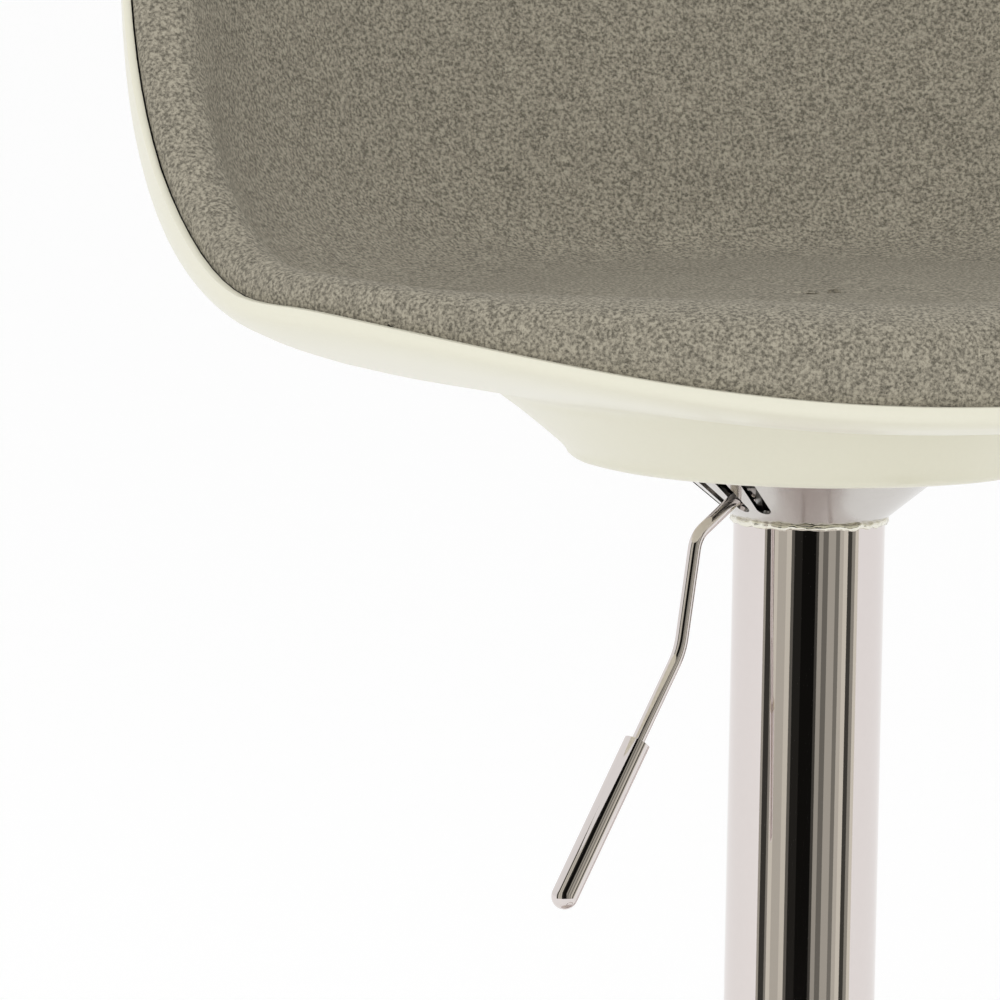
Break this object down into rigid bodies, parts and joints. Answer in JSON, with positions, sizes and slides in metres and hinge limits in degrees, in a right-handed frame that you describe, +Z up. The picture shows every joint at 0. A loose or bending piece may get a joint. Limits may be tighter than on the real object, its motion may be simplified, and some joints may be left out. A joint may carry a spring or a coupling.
{
  "type": "adjustable swivel stool",
  "caption": "Padded tub-seat swivel stool on a gas lift column with a slotted bell, lift lever, footrest loop and round weighted base.",
  "frame": {"origin": "on the floor, on the column's axis, at the middle of the object's footprint", "axes": "+Z up along the column, -Y the way the sitter faces, +X the sitter's left"},
  "size_m": [0.504, 0.46, 0.9044],
  "materials": {
    "rubber": "matt",
    "chrome": "polished chrome",
    "cast_iron": "painted cast iron",
    "steel": "zinc-plated steel",
    "black_plastic": "moulded black plastic",
    "black_paint": "black powder coat",
    "cream_plastic": "smooth cream plastic",
    "liner_plastic": "moulded inner pan",
    "foam": "upholstery foam",
    "felt": "heathered grey-brown felt"
  },
  "bodies": {
    "stand": {"floor_ring": "rubber", "base_cover": "chrome", "ballast_plate": "cast_iron", "base_socket": "steel", "base_bolts": "steel", "column_tube": "chrome", "column_plug": "steel", "lower_race": "steel", "guide_bush": "black_plastic", "footrest_collar": "chrome", "footrest_bar": "chrome", "footrest_screws": "steel"},
    "rod": {"upper_race": "steel", "ball_cage": "black_plastic", "bearing_balls": "steel", "piston_rod": "steel", "piston": "black_plastic", "rod_washer": "steel", "rod_clip": "steel"},
    "seat": {"gas_cylinder": "black_paint", "cylinder_guide": "black_plastic", "cylinder_head": "steel", "upper_sleeve": "chrome", "sleeve_ring": "black_plastic", "bell_cover": "chrome", "neck_bead": "chrome", "taper_socket": "steel", "mount_plate": "steel", "lever_bracket": "steel", "lever_pin": "steel", "inner_plate": "steel", "mount_bolts": "steel", "seat_shell": "cream_plastic", "seat_liner": "liner_plastic", "foam_pad": "foam", "seat_cover": "felt"},
    "lever": {"lever_rod": "chrome", "lever_grip": "chrome"},
    "valve": {"valve_pin": "steel"}
  },
  "joints": [
    {"name": "seat_swivel", "type": "hinge", "parent": "stand", "child": "rod", "pos_m": [0, 0, 0.0296], "axis": [0, 0, 1], "continuous": true},
    {"name": "seat_lift", "type": "slide", "parent": "rod", "child": "seat", "axis": [0, 0, 1], "range_m": [0, 0.2]},
    {"name": "lever_tilt", "type": "hinge", "parent": "seat", "child": "lever", "pos_m": [-0.02573, -0.01105, 0.53], "axis": [-0.3947, 0.9188, 0], "range_deg": [0, 8], "stiffness_Nm_per_rad": 0.5, "springref_deg": -5.73},
    {"name": "valve_press", "type": "slide", "parent": "seat", "child": "valve", "axis": [0, 0, -1], "range_m": [0, 0.004]}
  ],
  "couplings": [
    {"joint": "valve_press", "follows": "lever_tilt", "m_per_rad": 0.0279}
  ]
}
